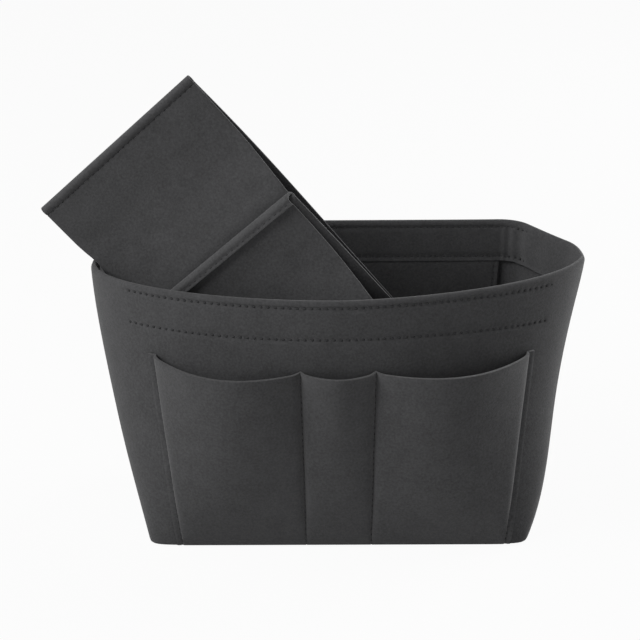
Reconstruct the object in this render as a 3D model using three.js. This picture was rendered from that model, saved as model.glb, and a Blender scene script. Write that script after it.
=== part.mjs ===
// A purse organizer insert of synthetic felt: a tapered open body with turned hems and slip pockets,
// and two folded dividers that are drawn out at a slant. Millimetres, +Z up, front towards -Y.
import * as THREE from 'three';

// Felt and sewing
const FELT = 2;                    // thickness of the felt sheet
const SEWN_GAP = 0.3;              // room between two sewn pieces
const STRIP_GAP = 0.8;             // loft of the felt between a wall and a pocket strip
const HEM_DEPTH = 30;              // depth of the turned hem inside the rim
const HEM_SLACK = 0.4;             // room between the wall and its turned hem

// Body
const HEIGHT = 185;
const BASE_HALF_LENGTH = 130;
const BASE_HALF_DEPTH = 63;
const BASE_SQUARENESS = 20;        // superellipse exponent of the base outline
const RIM_HALF_LENGTH = 167;
const RIM_FRONT_DEPTH = 76;        // rim bow in front of the side seams
const RIM_LEFT_ROUNDNESS = 1.9;    // superellipse exponents of the bowed front rim
const RIM_RIGHT_ROUNDNESS = 1.6;
const RIM_BACK_DEPTH = 86;         // straight back rim behind the side seams
const REAR_BEND_X = 131;           // where the straight back rim bends towards the side seam
const REAR_BEND_SOFTNESS = 16;     // how far the bend is rounded along each leg
const SEAM_ROUNDING = 21;          // how far the rim is rounded at the side seam
const SLANT_ROUNDING = 13;         // how far that rounding runs on along the slanted back rim
const RIGHT_END_BACK = 8;          // how far the rim's right end is drawn back
const RIGHT_END_POWER = 8;         // how closely that keeps to the right end
const SWELL = 1.5;                 // how early the walls spread as they rise

// Outer pocket strips
const POCKET_MOUTH = 136;          // height of the pocket mouths
const STRIP_HALF_MOUTH = 127;      // half width of the strip at the mouths
const STRIP_HALF_FOOT = 113;       // half width of the strip at the base
const CENTRE_HALF_MOUTH = 24.5;    // half width of the centre pocket at its mouth
const CENTRE_HALF_FOOT = 22.5;
const STRIP_FLANGE = 4;            // flat sewn edge at each end of the strip
const WIDE_BULGE = 17;             // how far the wide pocket mouths stand open
const CENTRE_BULGE = 10;
const BULGE_RISE = 1.4;            // how the bulge grows from the base to the mouth

// Inner pockets
const INNER_MOUTH = 150;
const INNER_HALF_MOUTH = 112;
const INNER_HALF_FOOT = 104;
const INNER_FLANGE = 4;
const INNER_BULGE = 11;

// Dividers
const DIVIDER_WIDTH = 136;         // along the fold
const STITCH_INSET = 6;            // from the fold's crest to the row of stitches
const FOLD_SLACK = 0.4;            // room between the two layers inside the fold
const HINGE_GAP = 0.6;             // bare felt at the stitches, where a leaf bends
const TALL_LENGTH = 295;
const TALL_TILT = 41.5;            // degrees, slope of the fold
const TALL_TURN = 1;               // degrees, the fold's right end lies further back
const TALL_FRONT_FLARE = 2.5;      // degrees, how far each leaf stands off the fold's plane
const TALL_BACK_FLARE = 5;
const TALL_LEAN_Y = 1;             // where the left edge crosses the rim
const LEAN_GAP = 1.5;              // room between that edge and the roll of the hem
const SHORT_LENGTH = 199;
const SHORT_TILT = 40.5;
const SHORT_FOOT_LEFT = 5;         // where its lower corner stands on the base, from the middle
const SHORT_FOOT_FRONT = 30;
const SHORT_FRONT_FLARE = 3.5;
const SHORT_BACK_FLARE = 2.5;

// Fineness of the curved sheets
const WALL_COLUMNS = 40;
const WALL_ROWS = 8;
const ROW_CROWDING = 1.4;          // above 1 the wall's rows lie closer near the base
const ROLL_STEPS = 5;
const POCKET_COLUMNS = 8;
const POCKET_ROWS = 8;
const CREST_SEGMENTS = 8;          // facets round a divider's fold
const TANGENT_STEP = 0.02;         // radians to each side, for the direction of a wall
const HALVINGS = 40;               // steps in the search for a wall's angle

// Colours
const BODY_COLOUR = 0x434345;
const BASE_COLOUR = 0x38383a;
const LINING_COLOUR = 0x39393b;
const FOLD_COLOUR = 0x4b4b4d;
const FRONT_LEAF_COLOUR = 0x47474a;
const BACK_LEAF_COLOUR = 0x3c3c3f;
const FELT_ROUGHNESS = 0.95;

const radians = THREE.MathUtils.degToRad;
const lerp = THREE.MathUtils.lerp;

function felt(colour) {
  return new THREE.MeshStandardMaterial({ color: colour, roughness: FELT_ROUGHNESS, metalness: 0 });
}

function named(name, geometry, colour = BODY_COLOUR) {
  const mesh = new THREE.Mesh(geometry, felt(colour));
  mesh.name = name;
  return mesh;
}

// A closed sheet between two grids of points, one on each face of the felt.
function sheet(faceA, faceB) {
  const columns = faceA.length;
  const rows = faceA[0].length;
  const points = [...faceA.flat(), ...faceB.flat()];
  const at = (face, i, j) => face * columns * rows + i * rows + j;
  const triangles = [];
  const quad = (a, b, c, d) => triangles.push(a, b, c, a, c, d);
  for (let i = 0; i < columns - 1; i++) {
    for (let j = 0; j < rows - 1; j++) {
      quad(at(0, i, j), at(0, i + 1, j), at(0, i + 1, j + 1), at(0, i, j + 1));
      quad(at(1, i, j), at(1, i, j + 1), at(1, i + 1, j + 1), at(1, i + 1, j));
    }
    const top = rows - 1;
    quad(at(0, i, 0), at(1, i, 0), at(1, i + 1, 0), at(0, i + 1, 0));
    quad(at(0, i, top), at(0, i + 1, top), at(1, i + 1, top), at(1, i, top));
  }
  for (let j = 0; j < rows - 1; j++) {
    const last = columns - 1;
    quad(at(0, 0, j), at(0, 0, j + 1), at(1, 0, j + 1), at(1, 0, j));
    quad(at(0, last, j), at(1, last, j), at(1, last, j + 1), at(0, last, j + 1));
  }
  if (signedVolume(points, triangles) < 0) {
    triangles.reverse();
  }
  const geometry = new THREE.BufferGeometry().setFromPoints(points);
  geometry.setIndex(triangles);
  geometry.computeVertexNormals();
  return geometry;
}

function signedVolume(points, triangles) {
  let volume = 0;
  for (let k = 0; k < triangles.length; k += 3) {
    const [a, b, c] = [points[triangles[k]], points[triangles[k + 1]], points[triangles[k + 2]]];
    volume += a.dot(b.clone().cross(c)) / 6;
  }
  return volume;
}

// Half outlines in plan, from the right side seam (angle 0) to the middle (angle 90 degrees).
function superellipse(halfLength, halfDepth, exponent, angle) {
  const x = halfLength * Math.max(Math.cos(angle), 0) ** (2 / exponent);
  const y = halfDepth * Math.max(Math.sin(angle), 0) ** (2 / exponent);
  return new THREE.Vector2(x, y);
}

// The back rim: rounded at the seam, slanted to the bend, then straight.
const bend = new THREE.Vector2(REAR_BEND_X, RIM_BACK_DEPTH);
const seamCorner = new THREE.Vector2(RIM_HALF_LENGTH, SEAM_ROUNDING);
const slant = bend.clone().sub(seamCorner).normalize();
const slantStart = seamCorner.clone().addScaledVector(slant, SLANT_ROUNDING);
const slantEnd = bend.clone().addScaledVector(slant, -REAR_BEND_SOFTNESS);
const rearEnd = new THREE.Path().moveTo(RIM_HALF_LENGTH, 0);
rearEnd.quadraticCurveTo(seamCorner.x, seamCorner.y, slantStart.x, slantStart.y);
rearEnd.lineTo(slantEnd.x, slantEnd.y);
const rearStraight = new THREE.Path().moveTo(slantEnd.x, slantEnd.y);
rearStraight.quadraticCurveTo(bend.x, bend.y, bend.x - REAR_BEND_SOFTNESS, bend.y);
rearStraight.lineTo(0, RIM_BACK_DEPTH);

function backRim(angle) {
  const half = angle / (Math.PI / 4);
  return half < 1 ? rearEnd.getPoint(half) : rearStraight.getPoint(Math.min(half - 1, 1));
}

// A point on the outside of a wall. The angle runs from the right seam (0) over the middle to the left (180).
function wallPlan(side, angle, z) {
  const mirrored = angle > Math.PI / 2;
  const quarter = mirrored ? Math.PI - angle : angle;
  const foot = superellipse(BASE_HALF_LENGTH, BASE_HALF_DEPTH, BASE_SQUARENESS, quarter);
  const roundness = mirrored ? RIM_LEFT_ROUNDNESS : RIM_RIGHT_ROUNDNESS;
  const rim = side === 'front'
    ? superellipse(RIM_HALF_LENGTH, RIM_FRONT_DEPTH, roundness, quarter)
    : backRim(quarter);
  const spread = 1 - Math.max(1 - z / HEIGHT, 0) ** SWELL;
  const plan = foot.lerp(rim, spread);
  plan.y = Math.max(plan.y, SEWN_GAP / 2);
  const drawnBack = mirrored ? 0 : RIGHT_END_BACK * spread * (plan.x / RIM_HALF_LENGTH) ** RIGHT_END_POWER;
  return new THREE.Vector2(
    mirrored ? -plan.x : plan.x,
    (side === 'front' ? -plan.y : plan.y) + drawnBack,
  );
}

// The same point moved in along the wall's level normal by a depth, or out by a negative one.
function wallPoint(side, angle, z, depth) {
  const before = wallPlan(side, Math.max(angle - TANGENT_STEP, 0), z);
  const after = wallPlan(side, Math.min(angle + TANGENT_STEP, Math.PI), z);
  const along = after.sub(before).normalize();
  const inward = new THREE.Vector2(-along.y, along.x).multiplyScalar(side === 'front' ? -1 : 1);
  if (angle === 0 || angle === Math.PI) {
    inward.set(angle === 0 ? -1 : 1, 0);
  }
  const plan = wallPlan(side, angle, z).addScaledVector(inward, depth);
  return new THREE.Vector3(plan.x, plan.y, z);
}

// The angle at which a wall stands at a given x, found by halving.
function angleAt(side, x, z) {
  let low = 0;
  let high = Math.PI;
  for (let i = 0; i < HALVINGS; i++) {
    const middle = (low + high) / 2;
    if (wallPlan(side, middle, z).x > x) {
      low = middle;
    } else {
      high = middle;
    }
  }
  return (low + high) / 2;
}

// Where the walls, the pockets and the dividers stand on the base.
const ABOVE_BASE = FELT + SEWN_GAP;

// Outer radius of the turned top.
const hemRoll = FELT + HEM_SLACK / 2;

// One wall from side seam to side seam, its top turned in and down as the hem.
function wall(side) {
  const innerRoll = HEM_SLACK / 2;
  const crown = HEIGHT - hemRoll;
  const hemEdge = HEIGHT - HEM_DEPTH;
  const outside = [];
  const inside = [];
  for (let j = 0; j <= WALL_ROWS; j++) {
    const z = lerp(ABOVE_BASE, crown, (j / WALL_ROWS) ** ROW_CROWDING);
    outside.push([0, z]);
    inside.push([FELT, z]);
  }
  for (let k = 1; k <= ROLL_STEPS; k++) {
    const turn = Math.PI * (1 - k / ROLL_STEPS);
    outside.push([hemRoll + hemRoll * Math.cos(turn), crown + hemRoll * Math.sin(turn)]);
    inside.push([hemRoll + innerRoll * Math.cos(turn), crown + innerRoll * Math.sin(turn)]);
  }
  outside.push([2 * hemRoll, hemEdge]);
  inside.push([hemRoll + innerRoll, hemEdge]);
  const faces = [outside, inside].map((profile) => {
    const grid = [];
    for (let i = 0; i <= WALL_COLUMNS; i++) {
      const angle = Math.PI * i / WALL_COLUMNS;
      grid.push(profile.map(([depth, z]) => wallPoint(side, angle, z, depth)));
    }
    return grid;
  });
  return sheet(...faces);
}

// A strip sewn to a wall along its seams, standing off it in a bulge between each two seams.
function pocketStrip(side, inwards, mouth, seams, bulges, flange) {
  const sign = inwards ? 1 : -1;
  const seat = inwards ? FELT + STRIP_GAP : STRIP_GAP;
  const stations = [{ outward: -1 }];
  bulges.forEach((bulge, pocket) => {
    for (let k = pocket === 0 ? 0 : 1; k <= POCKET_COLUMNS; k++) {
      stations.push({ pocket, share: k / POCKET_COLUMNS, bulge });
    }
  });
  stations.push({ outward: 1 });
  const across = (station, height) => {
    const place = (seam) => lerp(seam.foot, seam.mouth, height);
    if (station.outward) {
      const edge = place(station.outward < 0 ? seams[0] : seams[seams.length - 1]);
      return edge + station.outward * flange;
    }
    return lerp(place(seams[station.pocket]), place(seams[station.pocket + 1]), station.share);
  };
  const faces = [0, FELT].map((thickness) => stations.map((station) => {
    const column = [];
    for (let j = 0; j <= POCKET_ROWS; j++) {
      const height = j / POCKET_ROWS;
      const z = lerp(ABOVE_BASE, mouth, height);
      const angle = angleAt(side, across(station, height), z);
      const open = station.outward ? 0 : station.bulge * Math.sin(Math.PI * station.share);
      const off = open * height ** BULGE_RISE;
      column.push(wallPoint(side, angle, z, sign * (seat + off + thickness)));
    }
    return column;
  }));
  return sheet(...faces);
}

const outerSeams = [
  { foot: -STRIP_HALF_FOOT + STRIP_FLANGE, mouth: -STRIP_HALF_MOUTH + STRIP_FLANGE },
  { foot: -CENTRE_HALF_FOOT, mouth: -CENTRE_HALF_MOUTH },
  { foot: CENTRE_HALF_FOOT, mouth: CENTRE_HALF_MOUTH },
  { foot: STRIP_HALF_FOOT - STRIP_FLANGE, mouth: STRIP_HALF_MOUTH - STRIP_FLANGE },
];
const outerBulges = [WIDE_BULGE, CENTRE_BULGE, WIDE_BULGE];
const innerSeams = [
  { foot: -INNER_HALF_FOOT + INNER_FLANGE, mouth: -INNER_HALF_MOUTH + INNER_FLANGE },
  { foot: 0, mouth: 0 },
  { foot: INNER_HALF_FOOT - INNER_FLANGE, mouth: INNER_HALF_MOUTH - INNER_FLANGE },
];
const innerBulges = [INNER_BULGE, INNER_BULGE];

// The base panel, cut to the outline that the walls stand on.
function basePanel() {
  const outline = [];
  for (let i = 0; i < 2 * WALL_COLUMNS; i++) {
    const turn = Math.PI * i / WALL_COLUMNS;
    const side = turn < Math.PI ? 'back' : 'front';
    const angle = turn < Math.PI ? turn : 2 * Math.PI - turn;
    outline.push(wallPlan(side, angle, 0));
  }
  return new THREE.ExtrudeGeometry(new THREE.Shape(outline), { depth: FELT, bevelEnabled: false });
}

// The stitched fold of a divider: both layers over the crest, down to the row of stitches at the origin.
function dividerFold() {
  const outer = FELT + FOLD_SLACK / 2;
  const inner = FOLD_SLACK / 2;
  const spring = STITCH_INSET - outer;
  const section = new THREE.Shape();
  section.moveTo(outer, 0);
  section.lineTo(outer, spring);
  section.absarc(0, spring, outer, 0, Math.PI, false);
  section.lineTo(-outer, 0);
  section.lineTo(-inner, 0);
  section.lineTo(-inner, spring);
  section.absarc(0, spring, inner, Math.PI, 0, true);
  section.lineTo(inner, 0);
  const fold = new THREE.ExtrudeGeometry(section, {
    depth: DIVIDER_WIDTH, bevelEnabled: false, curveSegments: CREST_SEGMENTS,
  });
  fold.rotateX(Math.PI / 2);
  fold.rotateZ(Math.PI / 2);
  return fold;
}

// One leaf, hanging from the stitches and standing off by its flare. The front leaf lies towards -Y.
function dividerLeaf(length, flare, towards) {
  const drop = length - STITCH_INSET - HINGE_GAP;
  const leaf = new THREE.BoxGeometry(DIVIDER_WIDTH, FELT, drop);
  const off = (FELT + FOLD_SLACK) / 2;
  leaf.translate(DIVIDER_WIDTH / 2, towards * off, -HINGE_GAP - drop / 2);
  leaf.rotateX(towards * radians(flare));
  return leaf;
}

// A divider's group has its origin where the stitches meet its left edge, with the fold along +X.
function divider(name, length, frontFlare, backFlare) {
  const group = new THREE.Group();
  group.add(named(`${name}_fold`, dividerFold(), FOLD_COLOUR));
  group.add(named(`${name}_front_leaf`, dividerLeaf(length, frontFlare, -1), FRONT_LEAF_COLOUR));
  group.add(named(`${name}_back_leaf`, dividerLeaf(length, backFlare, 1), BACK_LEAF_COLOUR));
  return group;
}

// Stands a divider on its lower left corner, turned so that its fold slopes up to the right.
function stand(group, foot, length, tilt, turn) {
  group.rotation.set(0, -radians(tilt), radians(turn), 'ZYX');
  const corner = new THREE.Vector3(0, 0, STITCH_INSET - length).applyEuler(group.rotation);
  group.position.copy(foot).sub(corner);
  return group;
}

const organizer = new THREE.Group();
organizer.add(named('base_panel', basePanel(), BASE_COLOUR));
organizer.add(named('front_wall', wall('front')));
organizer.add(named('back_wall', wall('back')));
organizer.add(named('front_pocket_strip',
  pocketStrip('front', false, POCKET_MOUTH, outerSeams, outerBulges, STRIP_FLANGE)));
organizer.add(named('back_pocket_strip',
  pocketStrip('back', false, POCKET_MOUTH, outerSeams, outerBulges, STRIP_FLANGE)));
organizer.add(named('front_inner_pocket',
  pocketStrip('front', true, INNER_MOUTH, innerSeams, innerBulges, INNER_FLANGE), LINING_COLOUR));
organizer.add(named('back_inner_pocket',
  pocketStrip('back', true, INNER_MOUTH, innerSeams, innerBulges, INNER_FLANGE), LINING_COLOUR));

// The tall divider leans its left edge on the roll of the hem at the left seam and stands on the base.
const slope = radians(TALL_TILT);
const leanX = -RIM_HALF_LENGTH + hemRoll
  + (hemRoll + LEAN_GAP - hemRoll * Math.sin(slope)) / Math.cos(slope);
const footRun = (HEIGHT - ABOVE_BASE) * Math.tan(slope);
const tallFoot = new THREE.Vector3(
  leanX + footRun * Math.cos(radians(TALL_TURN)),
  TALL_LEAN_Y + footRun * Math.sin(radians(TALL_TURN)),
  ABOVE_BASE,
);
organizer.add(stand(
  divider('tall_divider', TALL_LENGTH, TALL_FRONT_FLARE, TALL_BACK_FLARE),
  tallFoot, TALL_LENGTH, TALL_TILT, TALL_TURN));
organizer.add(stand(
  divider('short_divider', SHORT_LENGTH, SHORT_FRONT_FLARE, SHORT_BACK_FLARE),
  new THREE.Vector3(-SHORT_FOOT_LEFT, -SHORT_FOOT_FRONT, ABOVE_BASE), SHORT_LENGTH, SHORT_TILT, 0));

export default organizer;
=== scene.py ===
import math

import bpy
import numpy as np
from mathutils import Matrix, Vector, noise


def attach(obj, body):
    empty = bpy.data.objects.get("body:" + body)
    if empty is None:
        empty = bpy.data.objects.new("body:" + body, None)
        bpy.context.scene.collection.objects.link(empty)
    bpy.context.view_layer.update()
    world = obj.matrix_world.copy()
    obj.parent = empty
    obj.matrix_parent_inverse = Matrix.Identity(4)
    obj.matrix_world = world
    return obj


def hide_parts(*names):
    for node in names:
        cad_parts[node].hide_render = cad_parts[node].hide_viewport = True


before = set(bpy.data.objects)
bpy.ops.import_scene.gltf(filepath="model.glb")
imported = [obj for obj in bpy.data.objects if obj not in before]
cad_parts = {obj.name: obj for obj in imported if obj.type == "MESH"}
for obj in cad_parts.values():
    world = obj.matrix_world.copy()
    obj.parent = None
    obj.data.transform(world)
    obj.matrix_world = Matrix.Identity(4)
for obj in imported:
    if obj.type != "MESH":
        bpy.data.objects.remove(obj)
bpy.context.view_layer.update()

# Front and back walls: two tapered panels of charcoal felt, sewn together at the ends and to the base.
# The top of each is turned in as a hem, which two rows of stitches hold down.
FELT = 0.002
BASE_HALF_LENGTH = 0.130
BASE_HALF_DEPTH = 0.063
BASE_SQUARENESS = 20
OUTLINE_POINTS = 1200
CROWDING = 5.5

# The angles crowd at both ends of the quarter, where a squarish outline runs fastest.
shares = np.linspace(0, 1, OUTLINE_POINTS)
crowded = shares**CROWDING / (shares**CROWDING + (1 - shares) ** CROWDING)
quarter_turn = crowded * math.pi / 2


def superellipse(half_length, half_depth, exponent):
    x = half_length * np.maximum(np.cos(quarter_turn), 0) ** (2 / exponent)
    y = half_depth * np.maximum(np.sin(quarter_turn), 0) ** (2 / exponent)
    return np.stack([x, y], axis=-1)


def run_along(line):
    steps = np.linalg.norm(np.diff(line, axis=0), axis=1)
    return np.concatenate([[0], np.cumsum(steps)])


def points_at(line, run, at):
    return np.stack([np.interp(at, run, line[:, k]) for k in range(line.shape[1])], axis=-1)


def new_material(name):
    material = bpy.data.materials.new(name)
    material.use_nodes = True
    tree = material.node_tree
    return material, tree, tree.nodes["Principled BSDF"]


def noise_texture(tree, **settings):
    texture = tree.nodes.new("ShaderNodeTexNoise")
    for setting, value in settings.items():
        texture.inputs[setting].default_value = value
    place = tree.nodes.new("ShaderNodeTexCoord")
    tree.links.new(place.outputs["Object"], texture.inputs["Vector"])
    return texture.outputs["Fac"]


def math_node(tree, operation, *values):
    node = tree.nodes.new("ShaderNodeMath")
    node.operation = operation
    for socket, value in zip(node.inputs, values):
        if isinstance(value, float):
            socket.default_value = value
        else:
            tree.links.new(value, socket)
    return node.outputs[0]


def tone_ramp(tree, shader, factor, dark, light, span=(0, 1)):
    ramp = tree.nodes.new("ShaderNodeValToRGB")
    for stop, position, colour in zip(ramp.color_ramp.elements, span, (dark, light)):
        stop.position = position
        stop.color = (*colour, 1)
    tree.links.new(factor, ramp.inputs["Fac"])
    tree.links.new(ramp.outputs["Color"], shader.inputs["Base Color"])


def fine_bump(tree, shader, height, strength, distance):
    bump = tree.nodes.new("ShaderNodeBump")
    bump.inputs["Strength"].default_value = strength
    bump.inputs["Distance"].default_value = distance
    tree.links.new(height, bump.inputs["Height"])
    tree.links.new(bump.outputs["Normal"], shader.inputs["Normal"])


PATCH_TONE = 0.22
FLUFF_TONE = 0.78
TONE_SPAN = (0.34, 0.66)
FIBRE_HEIGHT = 0.5


def felt_material(name, dark, light):
    material, tree, shader = new_material(name)
    patches = noise_texture(tree, Scale=70, Detail=3)
    fluff = noise_texture(tree, Scale=620, Detail=7, Roughness=0.68)
    fibres = noise_texture(tree, Scale=1500, Detail=5, Distortion=2.6)
    fluff_tone = math_node(tree, "MULTIPLY", fluff, FLUFF_TONE)
    mottle = math_node(tree, "MULTIPLY_ADD", patches, PATCH_TONE, fluff_tone)
    tone_ramp(tree, shader, mottle, dark, light, TONE_SPAN)
    nap = tree.nodes.new("ShaderNodeMapRange")
    nap.inputs["To Min"].default_value = 0.84
    nap.inputs["To Max"].default_value = 1.0
    tree.links.new(fibres, nap.inputs["Value"])
    tree.links.new(nap.outputs["Result"], shader.inputs["Roughness"])
    height = math_node(tree, "MULTIPLY_ADD", fibres, FIBRE_HEIGHT, fluff)
    fine_bump(tree, shader, height, strength=0.42, distance=0.0005)
    shader.inputs["Specular IOR Level"].default_value = 0.18
    shader.inputs["Sheen Weight"].default_value = 0.12
    shader.inputs["Sheen Roughness"].default_value = 0.55
    return material


body_felt = felt_material("body_felt", (0.031, 0.031, 0.032), (0.058, 0.058, 0.060))

HEIGHT = 0.185
SWELL = 1.5
RIM_HALF_LENGTH = 0.167
RIM_FRONT_DEPTH = 0.076
RIM_LEFT_ROUNDNESS = 1.9
RIM_RIGHT_ROUNDNESS = 1.6
RIM_BACK_DEPTH = 0.086
REAR_BEND_X = 0.131
REAR_BEND_SOFTNESS = 0.016
SEAM_ROUNDING = 0.021
SLANT_ROUNDING = 0.013
BEND_POINTS = 60
RIGHT_END_BACK = 0.008
RIGHT_END_POWER = 8
RIGHT_SWAY = (0, 0.0028, -0.0032, -0.0018, 0.0025)
SWAY_HEIGHTS = (0, 0.14, 0.5, 0.8, 1)
right_sway = np.polyfit(SWAY_HEIGHTS, RIGHT_SWAY, 4)
TANGENT_REACH = 0.004


def bezier_bend(start, control, end):
    t = np.linspace(0, 1, BEND_POINTS)[:, None]
    return (1 - t) ** 2 * start + 2 * t * (1 - t) * control + t**2 * end


bend = np.array([REAR_BEND_X, RIM_BACK_DEPTH])
seam_corner = np.array([RIM_HALF_LENGTH, SEAM_ROUNDING])
slant = (bend - seam_corner) / np.linalg.norm(bend - seam_corner)
slant_start = seam_corner + slant * SLANT_ROUNDING
slant_end = bend - slant * REAR_BEND_SOFTNESS
rear_end = np.concatenate([
    bezier_bend(np.array([RIM_HALF_LENGTH, 0]), seam_corner, slant_start), [slant_end]])
straight_start = bend - np.array([REAR_BEND_SOFTNESS, 0])
rear_straight = np.concatenate([
    bezier_bend(slant_end, bend, straight_start), [[0, RIM_BACK_DEPTH]]])
rear_share = np.clip(quarter_turn / (math.pi / 4), 0, 2)


def along_leg(leg, share):
    run = run_along(leg)
    return points_at(leg, run, share * run[-1])


foot_outline = superellipse(BASE_HALF_LENGTH, BASE_HALF_DEPTH, BASE_SQUARENESS)
rear_outline = np.where(
    (rear_share < 1)[:, None],
    along_leg(rear_end, np.clip(rear_share, 0, 1)),
    along_leg(rear_straight, np.clip(rear_share - 1, 0, 1)))
rim_outlines = {
    "front": [superellipse(RIM_HALF_LENGTH, RIM_FRONT_DEPTH, roundness)
              for roundness in (RIM_RIGHT_ROUNDNESS, RIM_LEFT_ROUNDNESS)],
    "back": [rear_outline, rear_outline],
}


def wall_section(side, z):
    spread = 1 - max(1 - max(z, 0) / HEIGHT, 0) ** SWELL
    right, left = [foot_outline + (rim - foot_outline) * spread for rim in rim_outlines[side]]
    plan = np.concatenate([right, left[-2::-1] * (-1, 1)])
    if side == "front":
        plan = plan[::-1] * (1, -1)
    to_right = np.maximum(plan[:, 0] / RIM_HALF_LENGTH, 0)
    plan[:, 1] += RIGHT_END_BACK * spread * to_right**RIGHT_END_POWER
    at_end = (plan[:, 0] / plan[:, 0].max()).clip(0) ** RIGHT_END_POWER
    plan[:, 0] += np.polyval(right_sway, max(z, 0) / HEIGHT) * at_end
    return plan


def off_wall(side, z, share=None, x=None, depth=0):
    plan = wall_section(side, z)
    run = run_along(plan)
    if x is not None:
        order = slice(None, None, 1 if side == "front" else -1)
        at = np.interp(x, plan[order, 0], run[order])
    else:
        at = share * run[-1]
    before, spot, after = [
        points_at(plan, run, np.clip(at + step, 0, run[-1]))
        for step in (-TANGENT_REACH, 0, TANGENT_REACH)]
    tangent = after - before
    # Both walls end square to the side seam, so that their edges meet there.
    tangent[(at <= 0) | (at >= run[-1]), 0] = 0
    tangent /= np.linalg.norm(tangent, axis=-1, keepdims=True)
    inward = np.stack([-tangent[:, 1], tangent[:, 0]], axis=-1)
    spot = spot + inward * np.asarray(depth).reshape(-1, 1)
    return np.column_stack([spot, np.full(len(spot), z)])


CUT_EDGE_ROUNDING = 0.00045
CUT_EDGE_ANGLE = 55


def felt_sheet(name, points, weights, material, offset=-1):
    rows, columns = points.shape[:2]
    bpy.ops.object.select_all(action="DESELECT")
    bpy.ops.mesh.primitive_grid_add(x_subdivisions=columns - 1, y_subdivisions=rows - 1, size=1)
    piece = bpy.context.object
    piece.name = name
    flat = np.zeros(len(piece.data.vertices) * 3, np.float32)
    piece.data.vertices.foreach_get("co", flat)
    flat = flat.reshape(-1, 3)
    i = np.rint((flat[:, 0] + 0.5) * (columns - 1)).astype(int)
    j = np.rint((flat[:, 1] + 0.5) * (rows - 1)).astype(int)
    piece.data.vertices.foreach_set("co", points[j, i].astype(np.float32).reshape(-1))
    piece.data.update()
    pressed = piece.vertex_groups.new(name="pressed")
    amount = np.round(weights[j, i], 2)
    for value in np.unique(amount):
        pressed.add(np.flatnonzero(amount == value).tolist(), float(value), "REPLACE")
    thickness = piece.modifiers.new("Felt", "SOLIDIFY")
    thickness.thickness = FELT
    thickness.offset = offset
    thickness.vertex_group = "pressed"
    cut_edge = piece.modifiers.new("Cut edge", "BEVEL")
    cut_edge.width = CUT_EDGE_ROUNDING
    cut_edge.segments = 2
    cut_edge.limit_method = "ANGLE"
    cut_edge.angle_limit = math.radians(CUT_EDGE_ANGLE)
    bpy.ops.object.modifier_apply(modifier="Felt")
    bpy.ops.object.modifier_apply(modifier="Cut edge")
    bpy.ops.object.shade_smooth()
    piece.data.materials.append(material)
    return piece


thread, thread_tree, thread_shader = new_material("sewing_thread")
twist = noise_texture(thread_tree, Scale=2200)
tone_ramp(thread_tree, thread_shader, twist, (0.026, 0.026, 0.027), (0.046, 0.046, 0.047))
fine_bump(thread_tree, thread_shader, twist, strength=0.3, distance=0.0002)
thread_shader.inputs["Roughness"].default_value = 0.9
thread_shader.inputs["Specular IOR Level"].default_value = 0.05

STITCH_PITCH = 0.0047
STITCH_SINK = 0.0004
INNER_SINK = 0.0007
STITCH_HALF = (0.00110, 0.00060, 0.00090)


def sew(line):
    curve = bpy.data.curves.new("seam_line", "CURVE")
    curve.dimensions = "3D"
    spline = curve.splines.new("POLY")
    spline.points.add(len(line) - 1)
    for point, spot in zip(spline.points, line):
        point.co = (*spot, 1)
    seam_line = bpy.data.objects.new("seam_line", curve)
    bpy.context.collection.objects.link(seam_line)
    bpy.ops.object.select_all(action="DESELECT")
    bpy.ops.mesh.primitive_uv_sphere_add(segments=6, ring_count=4, radius=1)
    stitch = bpy.context.object
    turned = Matrix.Rotation(math.pi / 2, 4, "Y")
    half = Matrix.Diagonal((*STITCH_HALF, 1))
    stitch.data.transform(Matrix.Translation((STITCH_PITCH / 2, 0, 0)) @ half @ turned)
    row = stitch.modifiers.new("Row", "ARRAY")
    row.fit_type = "FIT_CURVE"
    row.curve = seam_line
    row.use_relative_offset = False
    row.use_constant_offset = True
    row.constant_offset_displace = (STITCH_PITCH, 0, 0)
    follow = stitch.modifiers.new("Seam", "CURVE")
    follow.object = seam_line
    bpy.ops.object.modifier_apply(modifier="Row")
    bpy.ops.object.modifier_apply(modifier="Seam")
    bpy.data.objects.remove(seam_line)
    return stitch


def stitching(name, lines, body):
    rows = [sew(line) for line in lines]
    bpy.ops.object.select_all(action="DESELECT")
    for row in rows:
        row.select_set(True)
    bpy.context.view_layer.objects.active = rows[0]
    bpy.ops.object.join()
    piece = bpy.context.object
    piece.name = name
    bpy.ops.object.shade_smooth()
    piece.data.materials.append(thread)
    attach(piece, body)
    return piece


HEM_DEPTH = 0.030
HEM_RADIUS = 0.0022
HEM_FLARE = 0.0007
ROLL_HEIGHT = 0.0036
ROLL_POINTS = 13
FOOT_TURN = 0.0020
FOOT_HEIGHT = 0.0004
FOOT_CURVE = [(FOOT_TURN, FOOT_HEIGHT), (0.0010, 0.0005), (0.0002, 0.0012), (0, 0.0026)]
FACE_FROM = 0.006
FACE_ROWS = 34
UPPER_STITCHES = 0.180
LOWER_STITCHES = 0.158
BELOW_LOWER = 0.004
BELOW_UPPER = 0.005
GROOVE = 0.0009
PIT_SIDE = 0.4
PIT_HALF = 0.0011
PIT_UNDER_ROLL = 0.0008
PIT_EDGE = 0.0022
PIT_CLEAR = 0.0024
HEM_FACE_ROWS = 5
FLAP_ROWS = 9
PRESSED = 0.62
PUCKER = 0.0009
WALL_COLUMNS = 381


def pit(z, face, into, above=PIT_HALF):
    side_depth = face + PIT_SIDE * into
    return [(side_depth, z - PIT_HALF), (face + into, z), (side_depth, z + above)]


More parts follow.
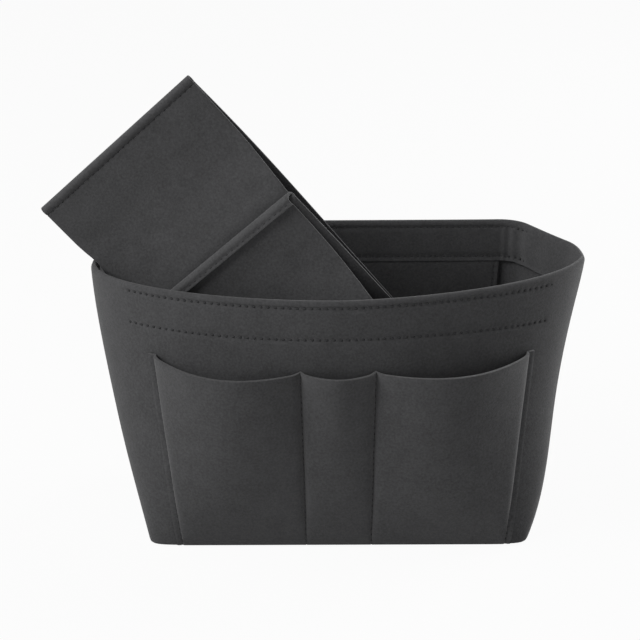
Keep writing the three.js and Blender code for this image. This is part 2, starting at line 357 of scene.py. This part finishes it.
crown = HEIGHT - ROLL_HEIGHT
hem_edge = HEIGHT - HEM_DEPTH
inner = 2 * HEM_RADIUS
rising = FOOT_CURVE + [(0, z) for z in np.linspace(FACE_FROM, LOWER_STITCHES - BELOW_LOWER, FACE_ROWS)]
rising += [(0, LOWER_STITCHES - PIT_EDGE)] + pit(LOWER_STITCHES, 0, GROOVE)
rising += [(0, z) for z in np.linspace(
    LOWER_STITCHES + PIT_CLEAR, UPPER_STITCHES - BELOW_UPPER, HEM_FACE_ROWS)]
rising += [(0, UPPER_STITCHES - PIT_EDGE)] + pit(UPPER_STITCHES, 0, GROOVE)
roll = [(HEM_RADIUS - HEM_RADIUS * math.cos(t), crown + ROLL_HEIGHT * math.sin(t))
        for t in np.linspace(0, math.pi, ROLL_POINTS)]
falling = pit(UPPER_STITCHES, inner, -GROOVE, above=PIT_UNDER_ROLL)[::-1]
falling += [(inner, z) for z in np.linspace(
    UPPER_STITCHES - PIT_CLEAR, LOWER_STITCHES + PIT_EDGE, FLAP_ROWS)]
falling += pit(LOWER_STITCHES, inner, -GROOVE)[::-1] + [(inner + HEM_FLARE, hem_edge)]
profile = rising + roll + falling
flap_start = len(rising) + len(roll)
wall_shares = np.linspace(0, 1, WALL_COLUMNS)

SEWN_FADE = 0.012
SEWN_POINTS = 900
SEWN_REACH = 0.003
STEP_UP = 0.001
ROW_DIP = {"front": 0.0049, "back": 0}
DIP_FROM = 0.55
DIP_HEIGHTS = (0.10, LOWER_STITCHES, UPPER_STITCHES, HEIGHT)
DIP_SHARES = (0, 1, 0.5, 0)
sewn_span = {"front": (0.128, 0.882), "back": (0.160, 0.840)}


def dipped_row(side, z, share, depth):
    row = off_wall(side, z, share=share, depth=depth)
    upwards = (off_wall(side, z + STEP_UP, share=share, depth=depth) - row) / STEP_UP
    to_end = np.clip((share - DIP_FROM) / (sewn_span[side][1] - DIP_FROM), 0, 1)
    dip = ROW_DIP[side] * to_end**2 * np.interp(z, DIP_HEIGHTS, DIP_SHARES)
    return row - upwards * dip[:, None]


WAVE = 0.0009
WAVES_ACROSS = 14
WAVES_UP = 11
WAVE_SEED = 3
FLAP_WAVES = 0.3
GATHER = 0.0006
GATHER_LENGTH = 0.0013
GATHER_UNEVENNESS = 2.5
UNEVEN_LENGTH = 0.009
GATHER_AT = 0.134
GATHER_REACH = 0.013
for side in ("front", "back"):
    rows = []
    weights = np.ones((len(profile), WALL_COLUMNS))
    sewn_from, sewn_to = sewn_span[side]
    within = np.minimum(wall_shares - sewn_from, sewn_to - wall_shares) / SEWN_FADE
    sewn_here = np.clip(within + 0.5, 0, 1)
    for j, (depth, z) in enumerate(profile):
        row = off_wall(side, z, share=wall_shares)
        in_hem = z > LOWER_STITCHES - SEWN_REACH and not len(rising) <= j < flap_start
        face = 0 if j < len(rising) else inner
        sunk = face + (depth - face) * sewn_here if in_hem else depth
        loose = math.sin(math.pi * min(max(z / LOWER_STITCHES, 0), 1))
        waves = np.array([
            WAVE * noise.noise(Vector((x * WAVES_ACROSS, y * WAVES_ACROSS, z * WAVES_UP + WAVE_SEED)))
            for x, y in row[:, :2]])
        if j >= flap_start and hem_edge < z < UPPER_STITCHES:
            uneven = GATHER_UNEVENNESS * np.sin(row[:, 0] / UNEVEN_LENGTH)
            gathers = GATHER * np.sin(row[:, 0] / GATHER_LENGTH + uneven)
            near_bend = np.exp(-((np.abs(row[:, 0]) - GATHER_AT) / GATHER_REACH) ** 2)
            waves = waves * FLAP_WAVES + gathers * near_bend
            loose = 1
        depths = sunk + waves * loose
        if depth in (GROOVE, inner - GROOVE):
            weights[j] = 1 - (1 - PRESSED) * sewn_here
            length = run_along(wall_section(side, z))[-1]
            stitch = ((wall_shares - sewn_from) * length / STITCH_PITCH - 0.5) * 2 * math.pi
            between = (0.5 - 0.5 * np.cos(stitch)) * sewn_here
            lift = -PUCKER if depth == GROOVE else PUCKER
            depths = depths + lift * between
        lay = dipped_row if j < len(rising) else off_wall
        rows.append(lay(side, z, share=wall_shares, depth=depths))
    wall = felt_sheet(f"{side}_wall_felt", np.array(rows), weights, body_felt)
    sewn_share = np.linspace(sewn_from, sewn_to, SEWN_POINTS)
    lines = [dipped_row(side, z, sewn_share, STITCH_SINK)
             for z in (LOWER_STITCHES, UPPER_STITCHES)]
    lines += [off_wall(side, z, share=sewn_share, depth=inner - INNER_SINK)
              for z in (LOWER_STITCHES, UPPER_STITCHES)]
    hem_rows = stitching(f"{side}_hem_stitching", lines, "insert_body")
    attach(wall, "insert_body")
    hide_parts(f"{side}_wall")

# Base panel: a flat piece of charcoal felt cut to a rounded rectangle.
# The walls are sewn to its edge all round, so its rim is a little pressed and rounded.
SEWN_GAP = 0.0001
BASE_POINTS = 400
EDGE_ROUNDING = 0.0006
EDGE_ANGLE = 50
SMOOTH_ANGLE = 40

bpy.ops.object.select_all(action="DESELECT")
bpy.ops.mesh.primitive_circle_add(vertices=BASE_POINTS, radius=0.1, fill_type="NGON")
base_panel = bpy.context.object
base_panel.name = "base_felt"
outline = np.concatenate([
    off_wall(side, FOOT_HEIGHT, share=wall_shares[:-1], depth=FOOT_TURN + SEWN_GAP)
    for side in ("front", "back")])
outline = np.concatenate([outline, outline[:1]])
outline_run = run_along(outline)
even_steps = np.linspace(0, outline_run[-1], BASE_POINTS + 1)[:-1]
for vertex, spot in zip(base_panel.data.vertices, points_at(outline, outline_run, even_steps)):
    vertex.co = (spot[0], spot[1], 0)
bpy.ops.object.mode_set(mode="EDIT")
bpy.ops.mesh.select_all(action="SELECT")
bpy.ops.mesh.extrude_region_move(TRANSFORM_OT_translate={"value": (0, 0, FELT)})
bpy.ops.mesh.select_all(action="SELECT")
bpy.ops.mesh.normals_make_consistent(inside=False)
bpy.ops.object.mode_set(mode="OBJECT")
rounding = base_panel.modifiers.new("Pressed edge", "BEVEL")
rounding.width = EDGE_ROUNDING
rounding.segments = 3
rounding.limit_method = "ANGLE"
rounding.angle_limit = math.radians(EDGE_ANGLE)
bpy.ops.object.modifier_apply(modifier="Pressed edge")
bpy.ops.object.shade_smooth_by_angle(angle=math.radians(SMOOTH_ANGLE))
base_panel.data.materials.append(body_felt)
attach(base_panel, "insert_body")
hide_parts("base_panel")

# Outer pocket strips: one long felt strip on each wall, sewn down at its ends and at two seams.
# It is cut wider than the wall, so that a wide, a narrow and a wide pocket stand open at the mouth.
POCKET_MOUTH = 0.136
STRIP_FOOT = 0.0023
STRIP_SEAT = 0.0008
STRIP_FLANGE = 0.004
STRIP_COLUMNS = 44
STRIP_ROWS = 36
FOOT_SHARES = [-0.005, 0.003, 0.012, 0.026, 0.045]
EVEN_FROM = 0.07
SEAM_CROWDING = 0.12
INNER_SEAT = 0.0003
BULGE_RISE = 1.4
PUFF = 0.0034
PUFF_REACH = 0.0017
PUFF_GROWTH = 4
SEAM_PRESS = 0.0009
ON_SEAM = 1e-6
FOOT_PRESSED = 0.012
FOOT_TUCK = 0.0018
RIPPLE = 0.0006
RIPPLES_ACROSS = 20
RIPPLES_UP = 16
RIPPLE_SEED = 7
LEFT_RISE = {"front": 0.0036, "back": 0}
LEFT_RISE_POWER = 3
outer_seams = {
    "front": [(-0.106, -0.1200), (-0.0215, -0.0240), (0.0225, 0.0250), (0.1135, 0.126)],
    "back": [(-0.109, -0.123), (-0.0225, -0.0245), (0.0225, 0.0245), (0.109, 0.123)],
}
outer_bulges = [0.017, 0.010, 0.017]

# The pocket felt is a touch lighter than the wall felt. This is painted light, for the extra light the
# pockets catch where they stand out from the wall.
pocket_felt = felt_material("pocket_felt", (0.033, 0.033, 0.034), (0.061, 0.061, 0.063))


def pocket_strip(name, side, inwards, mouth, seams, bulges, puff, press, flange, columns, rows, left_rise):
    sign = 1 if inwards else -1
    seat = FELT + INNER_SEAT if inwards else STRIP_SEAT
    heights = np.concatenate([FOOT_SHARES, np.linspace(EVEN_FROM, 1, rows)])
    stations = [(0, 0, -flange), (0, 0, -flange * 0.5)]
    for pocket in range(len(bulges)):
        for k in range(0 if pocket == 0 else 1, columns + 1):
            even = k / columns
            stations.append((pocket, even - SEAM_CROWDING * math.sin(2 * math.pi * even), 0))
    stations += [(len(bulges) - 1, 1, flange * 0.5), (len(bulges) - 1, 1, flange)]
    grid = []
    weights = np.ones((len(heights), len(stations)))
    for j, height in enumerate(heights):
        z = STRIP_FOOT + height * (mouth - STRIP_FOOT)
        grown = max(height, 0)
        xs = []
        offs = []
        for i, (pocket, share, aside) in enumerate(stations):
            near, far = [a + (b - a) * grown for a, b in (seams[pocket], seams[pocket + 1])]
            xs.append(near + (far - near) * share + aside)
            to_seam = min(share, 1 - share) * (far - near)
            swell = bulges[pocket] * math.sin(math.pi * share) * grown**BULGE_RISE
            puffed = 0 if aside else puff * (1 - math.exp(-to_seam / PUFF_REACH))
            offs.append(swell + puffed * min(grown * PUFF_GROWTH, 1))
            if to_seam < ON_SEAM and not aside:
                weights[j, i] = PRESSED
                offs[i] -= press
        sewn_in = max(1 - max(z, 0) / FOOT_PRESSED, 0) ** 2
        weights[j] -= weights[j] * sewn_in * (1 - PRESSED)
        stand_off = seat + np.array(offs) + FELT - FOOT_TUCK * sewn_in
        loose = math.sin(math.pi * grown)
        ripple = np.array([
            RIPPLE * noise.noise(Vector((x * RIPPLES_ACROSS, z * RIPPLES_UP, RIPPLE_SEED))) * loose
            for x in xs])
        depth = sign * (stand_off + ripple)
        row = off_wall(side, z, x=np.array(xs), depth=depth)
        upwards = (off_wall(side, z + STEP_UP, x=np.array(xs), depth=depth) - row) / STEP_UP
        to_left = np.clip((seams[1][1] - row[:, 0]) / (seams[1][1] - seams[0][1]), 0, 1)
        rise = left_rise * grown * to_left**LEFT_RISE_POWER
        grid.append(row + upwards * rise[:, None])
    grid = np.array(grid)
    if (side == "back") != inwards:
        grid = grid[:, ::-1]
        weights = weights[:, ::-1]
    return felt_sheet(name, grid, weights, pocket_felt)


SEAM_FROM = 0.01
SEAM_TO = 0.985
SEAM_POINTS = 60


def seam_rows(side, inwards, mouth, seams, thread_off):
    lines = []
    sign = 1 if inwards else -1
    for foot_x, mouth_x in seams:
        spots = []
        for height in np.linspace(SEAM_FROM, SEAM_TO, SEAM_POINTS):
            z = STRIP_FOOT + height * (mouth - STRIP_FOOT)
            x = foot_x + (mouth_x - foot_x) * height
            spots.append(off_wall(side, z, x=np.array([x]), depth=sign * thread_off)[0])
        lines.append(np.array(spots))
    return lines


for side in ("front", "back"):
    strip = pocket_strip(
        f"{side}_pocket_felt", side, False, POCKET_MOUTH, outer_seams[side], outer_bulges, PUFF,
        SEAM_PRESS, STRIP_FLANGE, STRIP_COLUMNS, STRIP_ROWS, LEFT_RISE[side])
    sewn = stitching(
        f"{side}_pocket_stitching",
        seam_rows(side, False, POCKET_MOUTH, outer_seams[side], STRIP_SEAT + FELT - SEAM_PRESS),
        "insert_body")
    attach(strip, "insert_body")
    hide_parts(f"{side}_pocket_strip")

# Inner pockets: a felt strip inside each wall, sewn at its ends and down the middle.
# It lies flat on the wall, and its mouth is just under the lower edge of the turned hem.
INNER_MOUTH = 0.1546
INNER_FLANGE = 0.004
INNER_COLUMNS = 40
INNER_ROWS = 34
INNER_PUFF = 0.0
INNER_PRESS = 0.0003
INNER_RISE = 0
inner_seams = [(-0.104, -0.1145), (0, 0), (0.104, 0.1145)]
inner_bulges = [0.0, 0.0]

for side in ("front", "back"):
    strip = pocket_strip(
        f"{side}_inner_pocket_felt", side, True, INNER_MOUTH, inner_seams, inner_bulges, INNER_PUFF,
        INNER_PRESS, INNER_FLANGE, INNER_COLUMNS, INNER_ROWS, INNER_RISE)
    sewn = stitching(
        f"{side}_inner_pocket_stitching",
        seam_rows(side, True, INNER_MOUTH, inner_seams, 2 * FELT + INNER_SEAT - INNER_SINK),
        "insert_body")
    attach(strip, "insert_body")
    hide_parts(f"{side}_inner_pocket")

# Dividers: two loose felt sheets, each folded double over a soft crest with a row of stitches under it.
# The fold and the back leaf are one piece here, and the front leaf bends away at the stitches.
# Each leaf hangs in a curve through spots that are given as (down, off) in millimetres.
MM_PER_M = 1000
DIVIDER_WIDTH = 0.136
HINGE_GAP = 0.0004
LEAF_COLUMNS = 56
LEAF_ROWS = 150
LOOP_POINTS = 15
LOOP_END = [(0.0020, 0.0016), (0.0015, 0.0007)]
ROW_FROM = 0.003
ROW_TO = 0.133
ROW_POINTS = 60
BACK_ROW = (0.0022, 0.0)
BELLY = 0.0012
LEAF_WAVE = 0.0007
LEAF_WAVES_ACROSS = 22
LEAF_WAVES_DOWN = 18
BACK_SEED = 11
FRONT_SEED = 19
WAVES_SET_IN = 6
CREASE_ALONG = (12, -6)
CREASE_ACROSS = (10, 70)
CREASE_SHARPNESS = 3
CREASE_SEED = 5
DRIFT_OVER = 0.2
DRIFT_POWER = 1.8
CURL = 0.0016
CURL_OVER = 0.1
CURL_LIMIT = 1.5
CURL_POWER = 1.5
DENT_AT = 0.0465
DENT_REACH = 0.010
DENT_WIDTH = 0.012

divider_felt = felt_material("divider_felt", (0.033, 0.033, 0.034), (0.060, 0.060, 0.062))
dividers = {
    "tall": {
        "at": (-0.1945, 0.0004789, 0.2189),
        "tilt": 41.5,
        "turn": 1,
        "length": 0.297,
        "back_aside": 0.0,
        "drift": -0.006,
        "dent": 0.0016,
        "drawn_in": 0.0015,
        "crease": 0.0003,
        "front": [(0, -1.2), (20, -1.5), (40, -2.1), (55, -4.2), (75, -9.5), (95, -15.5), (115, -18.5),
                  (150, -17.5), (185, -16.5), (230, -15), (291, -12.8)],
        "back": [(0, 1.2), (20, 3.6), (40, 5.6), (60, 7), (120, 8.5), (170, 10), (220, 15.5), (250, 20),
                 (279, 25)],
        "crest": [(-0.0012, 0.0), (-0.0017, 0.0008), (-0.0021, 0.0018)],
        "loop": (0.0, 0.0028, 0.0022, 0.0022),
        "sewn_at": (-0.0020, -0.0002),
    },
    "short": {
        "at": (-0.1328, -0.03, 0.1490584),
        "tilt": 40.5,
        "turn": 0,
        "length": 0.199,
        "back_aside": 0.004,
        "drift": 0.0,
        "dent": 0.0,
        "drawn_in": 0.0,
        "crease": 0.00015,
        "front": [(0, -1.2), (30, -2.2), (50, -5.4), (70, -11.5), (90, -18.5), (110, -22), (140, -20),
                  (193, -13)],
        "back": [(0, 1.2), (20, 3), (40, 4.5), (60, 5.2), (120, 6.6), (193, 8.6)],
        "crest": [(-0.0044, -0.0012), (-0.0041, -0.0002), (-0.0036, 0.0009), (-0.0036, 0.0020)],
        "loop": (-0.0002, 0.0026, 0.0034, 0.0024),
        "sewn_at": (-0.0043, 0.0010),
    },
}
widths = np.linspace(0, DIVIDER_WIDTH, LEAF_COLUMNS)


def hang(spots, start):
    down, off = np.array(spots).T / MM_PER_M
    lean = np.gradient(off, down)
    at = np.linspace(start, down[-1], LEAF_ROWS)
    k = np.clip(np.searchsorted(down, at) - 1, 0, len(down) - 2)
    step = down[k + 1] - down[k]
    t = (at - down[k]) / step
    y = (off[k] * (1 + 2 * t) * (1 - t) ** 2 + off[k + 1] * t**2 * (3 - 2 * t)
         + step * t * (1 - t) * (lean[k] * (1 - t) - lean[k + 1] * t))
    # The sheet keeps its length, so it falls less where it leans.
    fall = np.sqrt(np.diff(at) ** 2 - np.diff(y) ** 2)
    return list(zip(y, -at[0] - np.concatenate([[0], np.cumsum(fall)])))


def pressed_in(x, z):
    return math.exp(-((-z - DENT_AT) / DENT_REACH) ** 2) * max(1 - x / DENT_WIDTH, 0)


def belly(x, down):
    return BELLY * math.sin(math.pi * x / DIVIDER_WIDTH) * math.sin(math.pi * down)


def leaf_wave(x, z, seed, set_in):
    return LEAF_WAVE * noise.noise(Vector((x * LEAF_WAVES_ACROSS, z * LEAF_WAVES_DOWN, seed))) * set_in


def crease(x, z):
    along = x * CREASE_ALONG[0] + z * CREASE_ALONG[1]
    across = x * CREASE_ACROSS[0] + z * CREASE_ACROSS[1]
    return (1 - abs(noise.noise(Vector((along, across, CREASE_SEED))))) ** CREASE_SHARPNESS


for name, made in dividers.items():
    stand = (Matrix.Translation(made["at"]) @ Matrix.Rotation(math.radians(made["turn"]), 4, "Z")
             @ Matrix.Rotation(-math.radians(made["tilt"]), 4, "Y"))
    centre_y, centre_z, wide, high = made["loop"]
    crest = list(made["crest"])
    crest += [(centre_y - wide * math.cos(t), centre_z + high * math.sin(t))
              for t in np.linspace(0, math.pi, LOOP_POINTS)]
    crest += LOOP_END
    section = crest + hang(made["back"], 0)
    grid = []
    for j, (y, z) in enumerate(section):
        over = min(max((j - len(made["crest"])) / LOOP_POINTS, 0), 1)
        down = max(j - len(crest), 0) / LEAF_ROWS
        row = []
        for x in widths:
            ease = belly(x, down) + leaf_wave(x, z, BACK_SEED, min(down * WAVES_SET_IN, 1))
            aside = made["back_aside"] * over + made["drift"] * (max(-z, 0) / DRIFT_OVER) ** DRIFT_POWER
            aside += made["dent"] * pressed_in(x, z)
            row.append(stand @ Vector((x + aside, y + ease, z)))
        grid.append(row)
    fold = felt_sheet(
        f"{name}_divider_fold_felt", np.array(grid)[:, ::-1], np.ones((len(section), LEAF_COLUMNS)),
        divider_felt, offset=0)
    rows = [np.array([stand @ Vector((x, *spot)) for x in np.linspace(ROW_FROM, ROW_TO, ROW_POINTS)])
            for spot in (made["sewn_at"], BACK_ROW)]
    sewn = stitching(f"{name}_divider_stitching", rows, f"{name}_divider")
    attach(fold, f"{name}_divider")
    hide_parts(f"{name}_divider_fold", f"{name}_divider_back_leaf")
    grid = []
    for j, (y, z) in enumerate(hang(made["front"], HINGE_GAP)):
        down = j / LEAF_ROWS
        set_in = min(down * WAVES_SET_IN, 1)
        row = []
        for x in widths:
            ease = leaf_wave(x, -z, FRONT_SEED, set_in) - belly(x, down)
            ease -= made["crease"] * crease(x, z) * set_in
            curl = x / DIVIDER_WIDTH * min(-z / CURL_OVER, CURL_LIMIT) ** CURL_POWER
            aside = made["dent"] * pressed_in(x, z) - made["drawn_in"] * curl
            row.append(stand @ Vector((x + aside, y + ease - CURL * curl, z)))
        grid.append(row)
    leaf = felt_sheet(
        f"{name}_divider_front_felt", np.array(grid)[:, ::-1], np.ones((LEAF_ROWS, LEAF_COLUMNS)),
        divider_felt, offset=0)
    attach(leaf, f"{name}_front_leaf")
    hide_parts(f"{name}_divider_front_leaf")

# Floor: a plain pale sweep under the insert, white to the camera, that still takes its shadow.
# It isn't part of the object.
FLOOR_SIZE = 9
FLOOR_LEVEL = -0.0003
FLOOR_GREY = (0.42, 0.42, 0.42, 1)
WHITE_SHARE = 0.95


def seen_directly(tree):
    ray = tree.nodes.new("ShaderNodeLightPath")
    seen_or_glossy = math_node(tree, "MAXIMUM", ray.outputs["Is Camera Ray"], ray.outputs["Is Glossy Ray"])
    return math_node(tree, "MAXIMUM", seen_or_glossy, ray.outputs["Is Transmission Ray"])


def blend_surfaces(tree, factor, unseen, seen, output):
    blend = tree.nodes.new("ShaderNodeMixShader")
    tree.links.new(factor, blend.inputs["Fac"])
    tree.links.new(unseen.outputs[0], blend.inputs[1])
    tree.links.new(seen.outputs[0], blend.inputs[2])
    tree.links.new(blend.outputs[0], tree.nodes[output].inputs["Surface"])


bpy.ops.object.select_all(action="DESELECT")
bpy.ops.mesh.primitive_plane_add(size=FLOOR_SIZE, location=(0, 0, FLOOR_LEVEL))
floor = bpy.context.object
floor.name = "floor"
floor_paint, floor_tree, unused_shader = new_material("floor_paint")
floor_tree.nodes.remove(unused_shader)
paint = floor_tree.nodes.new("ShaderNodeBsdfDiffuse")
paint.inputs["Color"].default_value = FLOOR_GREY
glow = floor_tree.nodes.new("ShaderNodeEmission")
white_part = math_node(floor_tree, "MULTIPLY", seen_directly(floor_tree), WHITE_SHARE)
blend_surfaces(floor_tree, white_part, paint, glow, "Material Output")
floor.data.materials.append(floor_paint)

# Light: four softboxes in a dim white room that looks white to the camera.
# The left one is high, and the right one, the strongest, stands a little behind the insert.
# A weak one above and a weak one before it fill the shade.
ROOM_STRENGTH = 0.02
LIT_SPOT = Vector((0, 0, 0.1))

room = bpy.data.worlds.new("room")
bpy.context.scene.world = room
room.use_nodes = True
around = room.node_tree.nodes["Background"]
around.inputs["Color"].default_value = (1, 1, 1, 1)
around.inputs["Strength"].default_value = ROOM_STRENGTH
backdrop = room.node_tree.nodes.new("ShaderNodeBackground")
blend_surfaces(room.node_tree, seen_directly(room.node_tree), around, backdrop, "World Output")

softboxes = {
    "left_softbox": ((-1.3, -0.6, 1.25), 0.9, 30.5),
    "right_softbox": ((1.5, 0.8, 0.8), 1.2, 40),
    "top_softbox": ((-1.0, 0.2, 1.7), 0.9, 6.5),
    "front_softbox": ((0.1, -1.9, 0.6), 1.2, 12),
}
for name, (spot, size, power) in softboxes.items():
    lamp = bpy.data.lights.new(name, "AREA")
    lamp.size = size
    lamp.energy = power
    box = bpy.data.objects.new(name, lamp)
    bpy.context.collection.objects.link(box)
    box.location = spot
    box.rotation_euler = (LIT_SPOT - Vector(spot)).to_track_quat("-Z", "Y").to_euler()

# Camera: straight before the insert and a little above it, as in the photograph.
# It is aimed a little above and left of the insert's middle.
CAMERA_AT = (0, -1.092, 0.590)
CAMERA_PITCH = 22.33
CAMERA_YAW = 0.618
CAMERA_ROLL = -0.5
SENSOR_WIDTH = 36
FOCAL_LENGTH = 96.5

lens = bpy.data.cameras.new("camera")
lens.sensor_width = SENSOR_WIDTH
lens.lens = FOCAL_LENGTH
camera = bpy.data.objects.new("camera", lens)
bpy.context.collection.objects.link(camera)
camera.location = CAMERA_AT
turned = Matrix.Rotation(math.radians(CAMERA_YAW), 3, "Z")
raised = Matrix.Rotation(math.radians(90 - CAMERA_PITCH), 3, "X")
rolled = Matrix.Rotation(math.radians(CAMERA_ROLL), 3, "Z")
camera.rotation_euler = (turned @ raised @ rolled).to_euler()
bpy.context.scene.camera = camera
bpy.context.scene.view_settings.view_transform = "Standard"
